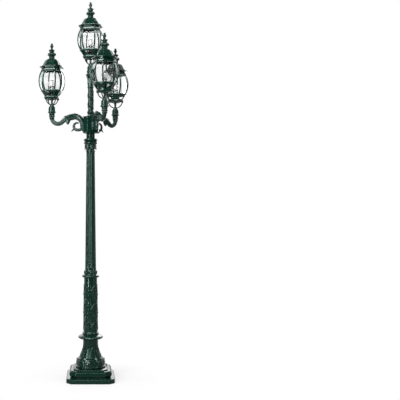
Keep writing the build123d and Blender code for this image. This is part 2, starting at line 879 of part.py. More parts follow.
lampholder = turned(
    outer=[
        (holder_flange_radius, holder_base),
        (holder_flange_radius, holder_base + holder_flange_height),
        (holder_radius, holder_base + holder_flange_height),
        (holder_radius, holder_base + holder_height - 2),
        (holder_radius - 2, holder_base + holder_height),
    ],
    inner=[
        (lead_radius, holder_base),
        (lead_radius, bulb_cap_base - lift_gap),
        (bulb_cap_radius + lift_gap, bulb_cap_base - lift_gap),
        (bulb_cap_radius + lift_gap, holder_base + holder_height),
    ],
)

with BuildPart() as bulb_cap:
    with BuildSketch(Plane.XZ):
        Polygon(
            (0, bulb_cap_base),
            (5, bulb_cap_base),
            (bulb_cap_radius - 1, bulb_cap_base + 5),
            (bulb_cap_radius, bulb_cap_base + 8),
            (bulb_cap_radius, bulb_glass_base),
            (0, bulb_glass_base),
        )
    revolve(axis=Axis.Z)

with BuildPart() as bulb:
    with BuildSketch(Plane.XZ):
        with BuildLine():
            shoulder = (bulb_radius * cos(radians(-35)), bulb_centre + bulb_radius * sin(radians(-35)))
            Line((0, bulb_glass_base), (bulb_neck_radius, bulb_glass_base))
            Line((bulb_neck_radius, bulb_glass_base), (bulb_neck_radius + 2, bulb_glass_base + 12))
            Line((bulb_neck_radius + 2, bulb_glass_base + 12), shoulder)
            CenterArc((0, bulb_centre), bulb_radius, -35, 125)
            Line((0, bulb_centre + bulb_radius), (0, bulb_glass_base))
        make_face()
    revolve(axis=Axis.Z)

# ================================================================ lanterns in place
lantern_pieces = {
    "collar": collar,
    "cradle": cradle.part,
    "gallery": gallery.part,
    "frame": frame.part,
    "panes": panes.part,
    "reflector": reflector.part,
    "roof": roof.part,
    "finial": finial.part,
    "lampholder": lampholder,
    "bulb_cap": bulb_cap.part,
    "bulb": bulb.part,
}
lantern_places = {"top": Location((0, 0, upper_post_top), (0, 0, first_arm_turn))}
for turn, name in zip(arm_turns, arm_names):
    axis = (arm_reach * cos(radians(turn)), arm_reach * sin(radians(turn)), collar_level)
    lantern_places[name] = Location(axis, (0, 0, turn))
for place_name, place in lantern_places.items():
    for piece_name, piece in lantern_pieces.items():
        save(piece.moved(place), f"{place_name}_{piece_name}")
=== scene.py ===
"""The looks of a garden lamp post with four lanterns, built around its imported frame.

Shapes are drawn in millimetres and made in metres. Each section of the post is drawn
from its own foot at zero and stands where the frame has that section. A lantern is
drawn once about its own axis, from its collar's foot at zero, and set up in four places."""

import bmesh
import bpy
import math
import numpy as np
from mathutils import Matrix, Vector


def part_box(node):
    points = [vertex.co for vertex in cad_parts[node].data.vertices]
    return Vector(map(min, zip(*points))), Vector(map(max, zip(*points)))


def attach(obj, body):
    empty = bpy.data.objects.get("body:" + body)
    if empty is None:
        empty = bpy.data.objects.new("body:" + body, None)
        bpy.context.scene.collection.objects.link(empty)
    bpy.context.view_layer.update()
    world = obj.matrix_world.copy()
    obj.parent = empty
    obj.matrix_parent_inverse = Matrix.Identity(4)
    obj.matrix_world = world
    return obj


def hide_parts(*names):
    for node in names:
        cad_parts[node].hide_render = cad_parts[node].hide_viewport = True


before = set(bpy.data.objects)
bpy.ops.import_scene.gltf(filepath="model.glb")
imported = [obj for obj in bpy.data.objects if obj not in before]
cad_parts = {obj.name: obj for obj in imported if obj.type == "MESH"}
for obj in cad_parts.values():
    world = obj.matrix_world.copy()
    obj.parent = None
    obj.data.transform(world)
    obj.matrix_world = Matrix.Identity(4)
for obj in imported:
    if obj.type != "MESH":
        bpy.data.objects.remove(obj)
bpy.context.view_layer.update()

MM = 0.001
CRISP = math.radians(36)  # edges that turn more than this stay crisp
WELD = 0.01  # millimetres between points that become one
LANTERNS = ("top", "left", "front", "rear")
ARM_TURNS = {"left": 169.5, "front": 289.5, "rear": 49.5}  # degrees about the post
BETWEEN_ARMS = 60  # degrees from an arm to the next face of the hub
CORNER = 28.25  # degrees from the middle of a lantern's wide side to its corner


def foot(node):
    """The height in millimetres at which a node of the frame stands."""
    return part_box(node)[0].z / MM


# ================================================================ node trees
class Wire:
    """The output of a node; arithmetic on it, from either side, adds Math nodes."""

    def __init__(self, maker, socket):
        self.maker, self.socket = maker, socket

    def math(self, operation, *values):
        return self.maker.node("ShaderNodeMath", {"operation": operation}, dict(enumerate(values)))

    def __add__(self, other):
        return self.math("ADD", self, other)

    def __sub__(self, other):
        return self.math("SUBTRACT", self, other)

    def __rsub__(self, other):
        return self.math("SUBTRACT", other, self)

    def __mul__(self, other):
        return self.math("MULTIPLY", self, other)

    __radd__, __rmul__ = __add__, __mul__

    def clamped(self):
        return self.maker.node("ShaderNodeClamp", {}, {0: self})

    def output(self, name):
        """Another output of the same node."""
        return Wire(self.maker, self.socket.node.outputs[name])

    def feed(self, values):
        """Sets or links inputs of this wire's own node."""
        self.maker.fill(self.socket.node, values)


class Maker:
    """Adds nodes to one tree, for a material or for geometry."""

    def __init__(self, tree):
        self.tree = tree

    def node(self, kind, settings=None, inputs=None, out=0):
        made = self.tree.nodes.new(kind)
        for key, value in (settings or {}).items():
            setattr(made, key, value)
        self.fill(made, inputs or {})
        return Wire(self, made.outputs[out])

    def fill(self, node, inputs):
        for key, value in inputs.items():
            if isinstance(value, Wire):
                self.tree.links.new(value.socket, node.inputs[key])
            else:
                node.inputs[key].default_value = value

    def place(self):
        """Object coordinates."""
        return self.node("ShaderNodeTexCoord").output("Object")

    def noise(self, scale, detail):
        return self.node("ShaderNodeTexNoise", {}, {
            "Vector": self.place(), "Scale": scale, "Detail": detail})

    def ramp(self, factor, low, high):
        """A colour that goes from low to high with the factor."""
        low_colour, high_colour, mixed_colour = 6, 7, 2
        return self.node("ShaderNodeMix", {"data_type": "RGBA"}, {
            "Factor": factor, low_colour: low, high_colour: high}, mixed_colour)


def material(name, constants):
    """A material with one principled shader; returns it, its maker and the shader."""
    made = bpy.data.materials.new(name)
    made.use_nodes = True
    made.node_tree.nodes.clear()
    maker = Maker(made.node_tree)
    return made, maker, maker.node("ShaderNodeBsdfPrincipled", {}, constants)


def finish_material(made, surface):
    output = made.node_tree.nodes.new("ShaderNodeOutputMaterial")
    made.node_tree.links.new(surface.socket, output.inputs["Surface"])
    return made


# the enamel's darkest and palest green, and the tint of what it mirrors
DEEP_GREEN = (0.0018, 0.0135, 0.0090, 1)
SOFT_GREEN = (0.0034, 0.0235, 0.0160, 1)
GREEN_SHEEN = (0.80, 1.0, 0.93, 1.0)


def enamel():
    """Glossy green stove enamel with a faint unevenness from the casting under it."""
    made, maker, surface = material("green_enamel", {
        "Specular IOR Level": 0.5, "Specular Tint": GREEN_SHEEN})
    patchy, fine = maker.noise(9.0, 3.0), maker.noise(260.0, 2.0)
    bump = maker.node("ShaderNodeBump", {}, {"Strength": 0.06, "Distance": 0.0005, "Height": fine})
    surface.feed({"Base Color": maker.ramp(patchy, DEEP_GREEN, SOFT_GREEN),
                  "Roughness": patchy * 0.08 + 0.11, "Normal": bump})
    return finish_material(made, surface)


def metal(name, colour, rough, grain):
    made, maker, surface = material(name, {"Metallic": 1.0})
    noise = maker.noise(grain, 3.0)
    dark = tuple(0.8 * c for c in colour)
    surface.feed({"Base Color": maker.ramp(noise, (*dark, 1), (*colour, 1)),
                  "Roughness": noise * 0.15 + rough})
    return finish_material(made, surface)


def plastic(name, colour, rough):
    made, maker, surface = material(name, {"Base Color": (*colour, 1)})
    surface.feed({"Roughness": maker.noise(300.0, 2.0) * 0.12 + rough})
    return finish_material(made, surface)


def glass(name, clear, edge, ior, frost):
    """Glass that is clear where it faces the eye and tinted where it is seen edge on."""
    made, maker, surface = material(name, {"Roughness": frost, "IOR": ior, "Transmission Weight": 1.0})
    slant = maker.node("ShaderNodeLayerWeight", {}, {"Blend": 0.5}).output("Facing")
    surface.feed({"Base Color": maker.ramp(slant, clear, edge)})
    return finish_material(made, surface)


green = enamel()
steel = metal("galvanised_steel", (0.62, 0.63, 0.64), 0.32, 60.0)
brass = metal("cap_metal", (0.70, 0.68, 0.62), 0.22, 200.0)
black = plastic("holder_black", (0.010, 0.010, 0.011), 0.14)
pale = plastic("block_plastic", (0.75, 0.74, 0.70), 0.45)
pane_glass = glass("clear_glass", (1, 1, 1, 1), (0.26, 0.38, 0.32, 1), 1.25, 0.03)
bulb_glass = glass("bulb_glass", (1, 1, 1, 1), (0.75, 0.77, 0.76, 1), 1.40, 0.0)
wire_metal = metal("filament", (0.35, 0.34, 0.33), 0.35, 300.0)


# ================================================================ meshes from numbers
def rounded(points, radius, closed=False, steps=3):
    """A flat line with each corner softened by up to the given radius."""
    points = [np.array(p, float) for p in points]
    count, line = len(points), []
    for k, corner in enumerate(points):
        if not closed and k in (0, count - 1):
            line.append(corner)
            continue
        before, after = points[k - 1], points[(k + 1) % count]
        to_before, to_after = before - corner, after - corner
        reach_b, reach_a = np.linalg.norm(to_before), np.linalg.norm(to_after)
        cut = min(radius, 0.45 * reach_b, 0.45 * reach_a)
        first = corner + to_before * cut / reach_b
        last = corner + to_after * cut / reach_a
        for t in np.linspace(0, 1, steps + 1):
            line.append((1 - t) ** 2 * first + 2 * t * (1 - t) * corner + t * t * last)
    return np.array(line)


def lathe(profile, segments=48, relief=None, soft=1.5):
    """A turned form from (radius, height) points. Relief adds to the radius by angle and height."""
    line = rounded(profile, soft)
    angles = np.arange(segments) * 2 * math.pi / segments
    points, rings, faces = [], [], []
    for r, z in line:
        if r < 1e-6:
            rings.append([len(points)])
            points.append((0, 0, z))
            continue
        start = len(points)
        for a in angles:
            reach = r + (relief(a, z) if relief else 0)
            points.append((reach * math.cos(a), reach * math.sin(a), z))
        rings.append(list(range(start, start + segments)))
    for low, high in zip(rings, rings[1:]):
        faces += bridge(low, high)
    faces += [end for end in (rings[0], rings[-1]) if len(end) > 1]
    return points, faces


def bridge(low, high):
    """Faces between two rings of points, or between a ring and a pole."""
    count = max(len(low), len(high))
    faces = []
    for k in range(count):
        n = (k + 1) % count
        if len(low) == 1:
            faces.append((low[0], high[n], high[k]))
        elif len(high) == 1:
            faces.append((low[k], low[n], high[0]))
        else:
            faces.append((low[k], low[n], high[n], high[k]))
    return faces


def loft(outlines, looped=False):
    """Skin over outlines that have the same number of points, each a list of (x, y, z)."""
    points, rings, faces = [], [], []
    for outline in outlines:
        rings.append(list(range(len(points), len(points) + len(outline))))
        points += [tuple(p) for p in outline]
    for low, high in list(zip(rings, rings[1:])) + ([(rings[-1], rings[0])] if looped else []):
        faces += bridge(low, high)
    if not looped:
        faces += [rings[0], rings[-1]]
    return points, faces


def octagon(radius, soft=1.5):
    """The lantern's octagon by its corner radius: four wide sides and four narrow ones."""
    angles = sorted(math.radians(90 * k + s * CORNER) for k in range(4) for s in (-1, 1))
    corners = [(radius * math.cos(a), radius * math.sin(a)) for a in angles]
    return rounded(corners, soft, closed=True, steps=2)


def hexagon(radius):
    return [(radius * math.cos(a), radius * math.sin(a)) for a in np.radians(np.arange(0, 360, 60))]


def tiers(profile, outline, soft=1.2, looped=False):
    """Outlines stacked along a softened (size, height) line."""
    line = rounded(profile, soft, closed=looped)
    return loft([[(x, y, z) for x, y in outline(r)] for r, z in line], looped)


def square(half, cut, soft=4):
    """A square by half its side, with its corners cut off."""
    corners = []
    for k in range(4):
        a = math.radians(90 * k)
        for x, y in ((half, cut - half), (half, half - cut)):
            corners.append((x * math.cos(a) - y * math.sin(a), x * math.sin(a) + y * math.cos(a)))
    return rounded(corners, soft, closed=True, steps=3)


def box(x, y, z, soft):
    """A block between limits, with soft upright edges and softened rims."""
    corners = [(x[0], y[0]), (x[1], y[0]), (x[1], y[1]), (x[0], y[1])]
    centre = np.array([(x[0] + x[1]) / 2, (y[0] + y[1]) / 2])
    full = rounded(corners, soft, closed=True, steps=2)
    sizes = np.array([(x[1] - x[0]) / 2, (y[1] - y[0]) / 2])
    small = centre + (full - centre) * (sizes - soft * 0.6) / sizes
    layers = [(small, z[0]), (full, z[0] + soft * 0.6), (full, z[1] - soft * 0.6), (small, z[1])]
    return loft([[(px, py, pz) for px, py in line] for line, pz in layers])


def hidden_back(grid):
    """A closed shell from a grid of points (rows along, columns across); its back is flat."""
    rows, columns = grid.shape[:2]
    points = [tuple(p) for p in grid.reshape(-1, 3)]
    at = lambda i, j: i * columns + j
    faces = []
    for i in range(rows - 1):
        for j in range(columns - 1):
            faces.append((at(i, j), at(i, j + 1), at(i + 1, j + 1), at(i + 1, j)))
        faces.append((at(i, 0), at(i + 1, 0), at(i + 1, columns - 1), at(i, columns - 1)))
    faces.append([at(0, j) for j in range(columns)][::-1])
    faces.append([at(rows - 1, j) for j in range(columns)])
    return points, faces


def leaf_rise(u, v, lobes):
    """Height of a carved leaf, 0 to 1, at u across (-1 to 1) and v along (0 to 1)."""
    across = 1 - abs(u) ** 2.2
    rib = 0.30 * math.exp(-(u / 0.13) ** 2)
    veins = 0.20 * math.cos(2 * math.pi * (lobes * v - 1.1 * abs(u)))
    return across * (0.70 + rib + veins * (0.3 + abs(u)))


def leaf_half(v, lobes):
    """Half width of a carved leaf at v, 0 to 1: a swelling outline with lobes."""
    body = math.sin(math.pi * (0.16 + 0.82 * v) ** 0.85) ** 0.8
    body = max(body, 0.45 * (1 - v) + 0.06)
    return body * (0.74 + 0.26 * abs(math.cos(math.pi * lobes * v)) ** 0.7)


def leaf(surface, low, high, half, rise, lobes=4, curl=0.0, lean=0.0, columns=13, rows=29):
    """A carved leaf that lies on a turned surface, radius = surface(z), about angle zero."""
    grid = np.zeros((rows, columns, 3))
    for i, v in enumerate(np.linspace(0, 1, rows)):
        z = low + (high - low) * v
        tip = max(0.0, (v - 0.72) / 0.28)
        for j, u in enumerate(np.linspace(-1, 1, columns)):
            reach = surface(z) - 1.2
            out = leaf_rise(u, v, lobes) * rise * min(1, 0.35 + 3 * v) + 1.2
            if j in (0, columns - 1):
                out = 0.0
            out += curl * tip ** 2
            a = (u * half * leaf_half(v, lobes) + lean * v) / reach
            drop = 0.35 * curl * tip ** 3
            grid[i, j] = ((reach + out) * math.cos(a), (reach + out) * math.sin(a), z - drop)
    return hidden_back(grid)


def tube(path, radius, sides=10):
    """A round bar along 3-D points, with one radius or one for each point."""
    path = np.array(path, float)
    radii = np.broadcast_to(radius, (len(path),))
    steps = np.gradient(path, axis=0)
    steps /= np.linalg.norm(steps, axis=1)[:, None]
    side = np.cross(steps[0], (0, 0, 1))
    if np.linalg.norm(side) < 0.1:
        side = np.cross(steps[0], (0, 1, 0))
    outlines = []
    for point, step, r in zip(path, steps, radii):
        side = side - step * (side @ step)
        side /= np.linalg.norm(side)
        over = np.cross(step, side)
        outlines.append([point + r * (math.cos(a) * side + math.sin(a) * over)
                         for a in np.arange(sides) * 2 * math.pi / sides])
    return loft(outlines)


def ball(centre, size, rings=6, sides=10):
    """A small ball, or an egg when size has three numbers."""
    size = np.broadcast_to(size, (3,))
    line = [(math.sin(t), -math.cos(t)) for t in np.linspace(0, math.pi, rings + 1)]
    line[0], line[-1] = (0, -1), (0, 1)
    points, faces = lathe(line, sides, soft=0)
    return [tuple(np.array(centre) + np.array(p) * size) for p in points], faces


def moved(shape, x=0.0, y=0.0, z=0.0, turn=0.0, tilt=0.0):
    """The shape tilted about Y, turned about Z and then shifted; turns in degrees."""
    place = (Matrix.Translation((x, y, z)) @ Matrix.Rotation(math.radians(turn), 4, "Z")
             @ Matrix.Rotation(math.radians(tilt), 4, "Y"))
    return [tuple(place @ Vector(p)) for p in shape[0]], shape[1]


def joined(*shapes):
    points, faces = [], []
    for more_points, more_faces in shapes:
        start = len(points)
        points += list(more_points)
        faces += [[start + k for k in face] for face in more_faces]
    return points, faces


# ================================================================ repeats and sweeps (nodes)
def new_object(name, points, faces=(), edges=()):
    mesh = bpy.data.meshes.new(name)
    mesh.from_pydata([tuple(p) for p in points], list(edges), [tuple(f) for f in faces])
    made = bpy.data.objects.new(name, mesh)
    bpy.context.scene.collection.objects.link(made)
    return made


def new_group(name, inputs):
    """A geometry tree with named inputs; returns it, its maker and its inputs by name."""
    tree = bpy.data.node_groups.new(name, "GeometryNodeTree")
    tree.interface.new_socket("Geometry", in_out="INPUT", socket_type="NodeSocketGeometry")
    for label, kind in inputs:
        tree.interface.new_socket(label, in_out="INPUT", socket_type=kind)
    tree.interface.new_socket("Geometry", in_out="OUTPUT", socket_type="NodeSocketGeometry")
    maker = Maker(tree)
    entry = tree.nodes.new("NodeGroupInput")
    return tree, maker, {s.name: Wire(maker, s) for s in entry.outputs if s.name}


def close_group(tree, maker, geometry, paint):
    real = maker.node("GeometryNodeRealizeInstances", {}, {0: geometry})
    painted = maker.node("GeometryNodeSetMaterial", {}, {"Geometry": real, "Material": paint})
    output = tree.nodes.new("NodeGroupOutput")
    tree.links.new(painted.socket, output.inputs[0])
    return tree


def ring_tree():
    """Copies of a piece, turned evenly about the Z axis."""
    tree, maker, given = new_group("repeat_round_axis", [
        ("Count", "NodeSocketInt"), ("Start", "NodeSocketFloat"), ("Material", "NodeSocketMaterial")])
    spots = maker.node("GeometryNodePoints", {}, {"Count": given["Count"]})
    index = maker.node("GeometryNodeInputIndex")
    share = maker.node("ShaderNodeMath", {"operation": "DIVIDE"}, {0: index, 1: given["Count"]})
    turn = share * (2 * math.pi) + given["Start"]
    spin = maker.node("ShaderNodeCombineXYZ", {}, {"Z": turn})
    copies = maker.node("GeometryNodeInstanceOnPoints", {}, {
        "Points": spots, "Instance": given["Geometry"], "Rotation": spin})
    return close_group(tree, maker, copies, given["Material"])


def sweep_tree():
    """A profile carried along a line, scaled by the line's thickness attribute."""
    tree, maker, given = new_group("profile_along_line", [
        ("Profile", "NodeSocketObject"), ("Material", "NodeSocketMaterial")])
    line = maker.node("GeometryNodeMeshToCurve", {}, {"Mesh": given["Geometry"]})
    shape = maker.node("GeometryNodeObjectInfo", {}, {"Object": given["Profile"]}, 4)
    around = maker.node("GeometryNodeMeshToCurve", {}, {"Mesh": shape})
    thick = maker.node("GeometryNodeInputNamedAttribute", {}, {"Name": "thickness"})
    body = maker.node("GeometryNodeCurveToMesh", {}, {
        "Curve": line, "Profile Curve": around, "Scale": thick, "Fill Caps": True})
    return close_group(tree, maker, body, given["Material"])


RING, SWEEP = ring_tree(), sweep_tree()


def through(made, tree, **values):
    """The plain mesh that the tree makes of the object, as a shape; nothing else is left."""
    modifier = made.modifiers.new(tree.name, "NODES")
    modifier.node_group = tree
    for item in tree.interface.items_tree:
        if item.in_out == "INPUT" and item.name in values:
            modifier[item.identifier] = values[item.name]
    bpy.context.view_layer.update()
    ready = made.evaluated_get(bpy.context.evaluated_depsgraph_get())
    mesh = bpy.data.meshes.new_from_object(ready)
    made.modifiers.remove(modifier)
    shape = ([tuple(v.co) for v in mesh.vertices], [list(p.vertices) for p in mesh.polygons])
    bpy.data.meshes.remove(mesh)
    bpy.data.objects.remove(made)
    return shape


def ring(shape, count, start=0.0):
    """The shape repeated evenly about the Z axis, the first at start degrees."""
    return through(new_object("repeat", *shape), RING, Count=count, Start=math.radians(start),
                   Material=green)


def at_corners(shape):
    """The shape repeated on the eight corners of a lantern."""
    return joined(ring(shape, 4, CORNER), ring(shape, 4, -CORNER))


def swept(path, profile, thickness):
    """The closed flat profile carried along the path."""
    count = len(profile)
    outline = new_object("profile", [(x, y, 0) for x, y in profile],
                         edges=[(k, (k + 1) % count) for k in range(count)])
    line = new_object("line", path, edges=[(k, k + 1) for k in range(len(path) - 1)])
    layer = line.data.attributes.new("thickness", "FLOAT", "POINT")
    layer.data.foreach_set("value", list(np.broadcast_to(thickness, (len(path),)).astype(float)))
    shape = through(line, SWEEP, Profile=outline, Material=green)
    bpy.data.objects.remove(outline)
    return shape


# ================================================================ pieces
def piece(name, shape, paint, body, nodes=(), place=Matrix()):
    """One object of the scene: welded, smooth with crisp edges, riding on its body."""
    mesh = bpy.data.meshes.new(name)
    mesh.from_pydata(shape[0], [], [tuple(f) for f in shape[1]])
    made = bmesh.new()
    made.from_mesh(mesh)
    bmesh.ops.remove_doubles(made, verts=made.verts, dist=WELD)
    bmesh.ops.recalc_face_normals(made, faces=made.faces)
    for edge in made.edges:
        edge.smooth = len(edge.link_faces) == 2 and edge.calc_face_angle(0) < CRISP
    for face in made.faces:
        face.smooth = True
    made.transform(place @ Matrix.Scale(MM, 4))
    made.to_mesh(mesh)
    made.free()
    mesh.materials.append(paint)
    thing = bpy.data.objects.new(name, mesh)
    bpy.context.scene.collection.objects.link(thing)
    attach(thing, body)
    if nodes:
        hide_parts(*nodes)


# ================================================================ the post
def table_line(profile):
    """radius(z) read off a turned profile."""
    line = rounded(profile, 1.5)
    order = np.argsort(line[:, 1], kind="stable")
    heights, radii = line[order, 1], line[order, 0]
    return lambda z: float(np.interp(z, heights, radii))


def base_plinth():
    """A slab with cut corners, a rounded tier on it and a small step above."""
    slab = tiers([(186.5, 0), (189.5, 3), (189.5, 31), (185, 35), (162, 35), (159, 36.5), (159, 39)],
                 lambda half: square(half, 38))
    bulge = [(143 + 24 * math.cos(a), 64 + 26 * math.sin(a))
             for a in np.radians(np.linspace(-80, 80, 9))]
    tier = [(136, 38)] + bulge + [(137, 90), (135.5, 91), (135.5, 96), (133, 98)]
    upper = tiers(tier, lambda half: square(half, half * 0.29, 5), soft=1)
    inside = tiers([(100, 20), (100, 98.5)], lambda half: square(half, 30))
    return joined(slab, upper, inside)


BELL = [(112, 0), (112, 5), (122, 9), (122, 14), (113, 18), (110, 48), (104, 70), (88, 83),
        (84, 94), (76, 113), (68, 132), (64, 146), (61, 160), (60, 176), (60, 222)]
BASE_RING = [(60, 0), (76, 2), (90, 6), (97, 12), (98, 18), (92, 25), (78, 30), (68, 34), (62, 38),
             (62, 40), (66.5, 42), (67.5, 46), (66, 51), (60, 54), (57, 58), (56, 61)]
LOWER_SHAFT = [(56, 0), (56, 25), (54, 199), (52, 369), (52, 427)]
SHAFT_RING = [(52, 0), (56, 2), (62, 6), (67, 11), (68, 16), (66, 22), (58, 26), (52, 29), (51, 34),
              (51, 54), (48, 60), (45, 64)]
CAPITAL = [(34, 0), (37.5, 2), (37.5, 8), (32, 12), (31.5, 21), (35, 26), (40, 37), (43, 51), (46, 58),
           (52, 62), (54, 66), (54, 71), (47, 75), (44, 78), (44, 84), (50, 87), (56.5, 90), (56.5, 96),
           (50, 101), (36, 105)]
UPPER_POST = [(21, 0), (24, 4), (24, 12), (20, 18), (22, 24), (27, 30), (27, 42), (22, 49), (21.5, 60),
              (21.5, 226), (24, 230), (26.5, 233), (26.5, 238), (24, 242), (22.5, 248), (24, 260),
              (24, 306), (26, 310), (28, 314), (26, 319), (28, 323), (35, 327), (37, 331), (36, 336),
              (30, 342), (28, 352)]


def gadroons(count, depth, low, high):
    """Relief of upright lobes between two heights."""
    def rise(a, z):
        if not low <= z <= high:
            return 0.0
        fade = math.sin(math.pi * (z - low) / (high - low)) ** 0.5
        return depth * fade * (abs(math.cos(count * a / 2)) ** 0.8 - 0.6)
    return rise


def base_bell():
    """The bell with two rows of carved leaves and a row of beads under them."""
    surface = table_line(BELL)
    low = ring(leaf(surface, 19, 71, 44, 5, lobes=3, curl=8, rows=25), 8)
    between = ring(leaf(surface, 21, 64, 20, 3, lobes=2, curl=3, rows=17, columns=9), 8, 22.5)
    tall = ring(leaf(surface, 83, 174, 27, 3.6, lobes=4, curl=4.0, rows=33), 8, 22.5)
    behind = ring(leaf(surface, 85, 148, 14, 2.2, lobes=3, curl=1.5, rows=25, columns=9), 8)
    beads = ring(ball((121, 0, 11.5), (3.2, 4.4, 3.2), 4, 8), 60)
    return joined(lathe(BELL, 64), low, between, tall, behind, beads)


def base_ring():
    beads = ring(ball((61.5, 0, 36), 3.4, 4, 8), 36)
    return joined(lathe(BASE_RING, 112, gadroons(28, 3.2, 6, 29)), beads)


def climbing_leaves(surface, low, high, columns, pitch, half, rise, stem):
    """Stems that wind up a shaft, with pairs of carved leaves and small fruit."""
    shapes = []
    for k in range(int((high - low) / pitch)):
        z = low + pitch * k
        side = 1 if k % 2 else -1
        one = leaf(surface, z, z + pitch * 1.1, half, rise, 3, rise * 0.7, side * half * 1.25,
                   columns=9, rows=19)
        other = leaf(surface, z + pitch * 0.35, z + pitch * 1.05, half * 0.55, rise * 0.9, 2,
                     rise * 0.5, -side * half * 1.3, columns=7, rows=13)
        fruit_at = surface(z + pitch * 0.5)
        fruit = moved(ball((fruit_at, 0, z + pitch * 0.55), rise * 0.95, 5, 8), turn=180 / columns)
        shapes.append(ring(joined(one, other, fruit), columns, (k % 2) * 180 / columns))
    line = []
    for z in np.arange(low, high, 4.0):
        a = 0.10 * math.sin(math.pi * (z - low) / pitch)
        r = surface(z) + stem * 0.2
        line.append((r * math.cos(a), r * math.sin(a), z))
    shapes.append(ring(tube(line, stem, 6), columns))
    return joined(*shapes)


def lower_shaft():
    vines = climbing_leaves(table_line(LOWER_SHAFT), 7, 381, 4, 72, 27, 5.5, 2.6)
    return joined(lathe(LOWER_SHAFT, 48), vines)


def shaft_ring():
    cuff = ring(leaf(lambda z: 51, 31, 58, 7, 2.2, 2, 2, columns=7, rows=11), 16)
    return joined(lathe(SHAFT_RING, 96, gadroons(24, 2.2, 4, 25)), cuff)


def fluted_shaft():
    """A tapered shaft whose flutes run out short of both ends."""
    height, wide, narrow = 943, 44.5, 34.0
    flutes, flute_depth, around = 12, 4.6, 144
    heights = [0, 8, 16, 22, 34, *np.linspace(60, height - 40, 12)]
    heights += [height - 20, height - 13, height - 7, height]
    outlines = []
    for z in heights:
        r = wide + (narrow - wide) * z / height
        ends = min(max((z - 10) / 24, 0), max((height - 6 - z) / 16, 0), 1)
        line = []
        for a in np.arange(around) * 2 * math.pi / around:
            reach = r - flute_depth * ends * ((1 + math.cos(flutes * a)) / 2) ** 1.5
            line.append((reach * math.cos(a), reach * math.sin(a), z))
        outlines.append(line)
    return loft(outlines)


def capital():
    """The neck ring with beads, a basket of hanging leaves and two flanges with flowers."""
    drop = leaf(lambda z: 43.5, -57, -14, 14, 4, 3, 3.0, columns=11, rows=21)
    leaves = ring(moved(drop, tilt=180, turn=180), 8, 9.5)
    small = ring(leaf(table_line(CAPITAL), 21, 53, 9, 4, 2, 6, columns=7, rows=13), 8, 32)
    flowers = ring(ball((47, 0, 81), 4.0, 5, 8), 10)
    beads = ring(ball((34.5, 0, 5), (4.6, 5.4, 5.6), 6, 10), 12)
    return joined(lathe(CAPITAL, 64), leaves, small, flowers, beads)


def neck_tube():
    line = [(30, -2), (33.5, 0), (33.5, 40), (30, 42)]
    return lathe(line, 96, gadroons(10, 4.0, 0, 40))


def upper_post():
    """The centre post above the hub, up to the spigot for its lantern."""
    vines = climbing_leaves(lambda z: 21.5, 56, 210, 3, 36, 14, 4.0, 2.2)
    low_leaves = ring(leaf(table_line(UPPER_POST), 6, 28, 9, 2.4, 2, 2.5, columns=7, rows=11), 8)
    high_leaves = ring(leaf(lambda z: 23.5, 252, 308, 8, 2.6, 3, 2.5, columns=9, rows=21), 8)
    tips = ring(leaf(lambda z: 27 + (z - 308) * 0.42, 308, 334, 10, 2.6, 2, 3.2, columns=9, rows=13),
                8, 22.5)
    spigot = lathe([(12.5, 348), (13.5, 350), (13.5, 380), (12.5, 382)], 24)
    return joined(lathe(UPPER_POST, 84, gadroons(14, 2.2, 27, 46)), vines, low_leaves, high_leaves,
                  tips, spigot)


# ================================================================ hub and arms
HUB_MIDDLE = 65  # height of the hub's middle over its foot
HUB_TURNS = [ARM_TURNS["left"] + BETWEEN_ARMS + 120 * k for k in range(3)]
ARM_REACH = 316  # from the post's axis to the lantern's
HUB_DROP = foot("hub") + HUB_MIDDLE - foot("left_collar")  # the hub's middle, from a collar's foot


def hub_outline(inradius, cut):
    """A triangle whose faces look along the arms, with its corners cut."""
    corners = []
    for a in np.radians(HUB_TURNS):
        out, side = np.array((math.cos(a), math.sin(a))), np.array((-math.sin(a), math.cos(a)))
        tip = 2 * inradius - cut
        corners += [out * tip - side * cut * 1.7, out * tip + side * cut * 1.7]
    return rounded(corners, 3, closed=True)


def hub_ornament():
    """A flower with four scrolls, for a panel that looks along +X."""
    petals = [ball((0, 9 * math.cos(a), 9 * math.sin(a)), (3.8, 4.6, 4.6), 5, 8)
              for a in np.radians(np.arange(0, 360, 60))]
    scrolls = []
    for side in (-1, 1):
        for up in (-1, 1):
            line = [(0, side * (3 + (13 - 9 * t) * math.sin(4.4 * t)),
                     up * (16 + 22 * t + 5 * math.cos(4.4 * t))) for t in np.linspace(0, 1, 14)]
            scrolls.append(tube(line, np.linspace(4.0, 2.4, 14), 8))
    return joined(ball((1, 0, 0), 4.6, 5, 10), *petals, *scrolls)


def hub():
    rims = [(38, 0), (42, 0), (42, 6), (38, 8), (38, 122), (42, 124), (42, 130), (30, 130)]
    body = tiers(rims, lambda r: hub_outline(r, 12))
    panel = moved(hub_ornament(), 59, 0, HUB_MIDDLE)
    return joined(body, *(moved(panel, turn=turn) for turn in HUB_TURNS))


def polar(centre, radius, first, last, steps):
    """Points of an arc in the (reach, height) plane, angles in degrees."""
    angles = np.radians(np.linspace(first, last, steps))
    return [(centre[0] + radius * math.cos(a), centre[1] + radius * math.sin(a)) for a in angles]


